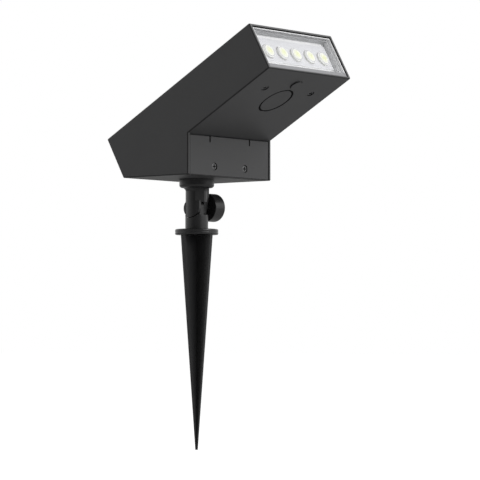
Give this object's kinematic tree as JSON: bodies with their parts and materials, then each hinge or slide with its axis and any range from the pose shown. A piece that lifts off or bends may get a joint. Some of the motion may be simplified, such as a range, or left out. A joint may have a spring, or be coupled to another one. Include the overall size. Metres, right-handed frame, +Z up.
{
  "type": "solar spotlight",
  "caption": "Solar spotlight: a tilted lamp bar with a solar top and a lensed window, on a box base, a clamped swivel and a cross-bladed ground spike.",
  "frame": {"origin": "on the spike's axis, at the underside of its flange, which is the ground line", "axes": "+Z up along the spike's axis, -Y the way the lens faces, +X towards the clamp knob"},
  "size_m": [0.1, 0.1612, 0.3197],
  "materials": {
    "shell": "satin dark grey moulding with a very fine grain",
    "black_plastic": "black moulded plastic, slightly glossy on its edges",
    "seal_rubber": "black silicone",
    "clear_cover": "clear, polished",
    "clear_lens": "clear moulded lens",
    "panel_glass": "clear tempered cover of the solar panel",
    "white_tray": "white moulded reflector",
    "solar_cell": "dark blue silicon wafer with silver fingers",
    "backsheet": "black board",
    "light_board": "white coated metal-core board",
    "package": "white ceramic package",
    "phosphor": "yellow phosphor",
    "bare_aluminium": "plain bent sheet",
    "steel": "plain steel",
    "black_steel": "black oxide steel",
    "brass": "plain brass",
    "board_green": "green circuit board",
    "component": "black component bodies",
    "connector": "ivory connector housing",
    "battery_sleeve": "plain blue sleeve over a metal can",
    "wire": "insulated wire",
    "nylon": "natural nylon"
  },
  "bodies": {
    "spike": {"ground_spike": "black_plastic"},
    "swivel": {"swivel_fork": "black_plastic", "swivel_insert": "brass", "swivel_screw": "steel", "spring_washer": "steel", "friction_washer": "nylon", "clamp_nut": "steel"},
    "head": {"housing": "shell", "battery_cover": "shell", "cover_seal": "seal_rubber", "cover_screws": "black_steel", "underside_screws": "black_steel", "panel_seal": "seal_rubber", "solar_backsheet": "backsheet", "solar_cells": "solar_cell", "solar_glass": "panel_glass", "reflector_tray": "white_tray", "front_glass": "clear_cover", "glass_seal": "white_tray", "lens_array": "clear_lens", "led_board": "light_board", "led_packages": "package", "led_phosphors": "phosphor", "heat_sink": "bare_aluminium", "led_screws": "steel", "control_board": "board_green", "board_screws": "steel", "board_parts": "component", "lead_connectors": "connector", "panel_leads": "wire", "led_leads": "wire", "battery_leads": "wire", "switch_body": "component", "sensor_blank": "shell", "blank_seal": "seal_rubber", "battery_cells": "battery_sleeve", "battery_tray": "black_plastic", "battery_contacts": "steel", "tray_screws": "steel", "swivel_bush": "nylon"},
    "button": {"power_button": "shell", "button_ring": "seal_rubber", "switch_plunger": "component"},
    "thrust_washer": {"knob_washer": "black_steel"},
    "knob": {"clamp_knob": "black_plastic", "clamp_stud": "steel"}
  },
  "joints": [
    {"name": "tilt", "type": "hinge", "parent": "spike", "child": "swivel", "pos_m": [0, 0, 0.0217], "axis": [1, 0, 0], "range_deg": [-60, 45]},
    {"name": "pan", "type": "hinge", "parent": "swivel", "child": "head", "pos_m": [0, 0, 0.0432], "axis": [0, 0, 1], "continuous": true},
    {"name": "knob_travel", "type": "slide", "parent": "swivel", "child": "thrust_washer", "axis": [1, 0, 0], "range_m": [0, 0.0016]},
    {"name": "knob_turn", "type": "hinge", "parent": "thrust_washer", "child": "knob", "pos_m": [0.0104, 0, 0.0217], "axis": [1, 0, 0], "range_deg": [0, 720]},
    {"name": "button_press", "type": "slide", "parent": "head", "child": "button", "axis": [0, 0.4848, 0.8746], "range_m": [0, 0.0012], "stiffness_N_per_m": 1500, "springref_m": -0.0006}
  ],
  "couplings": [
    {"joint": "knob_turn", "follows": "knob_travel", "rad_per_m": 7854}
  ]
}
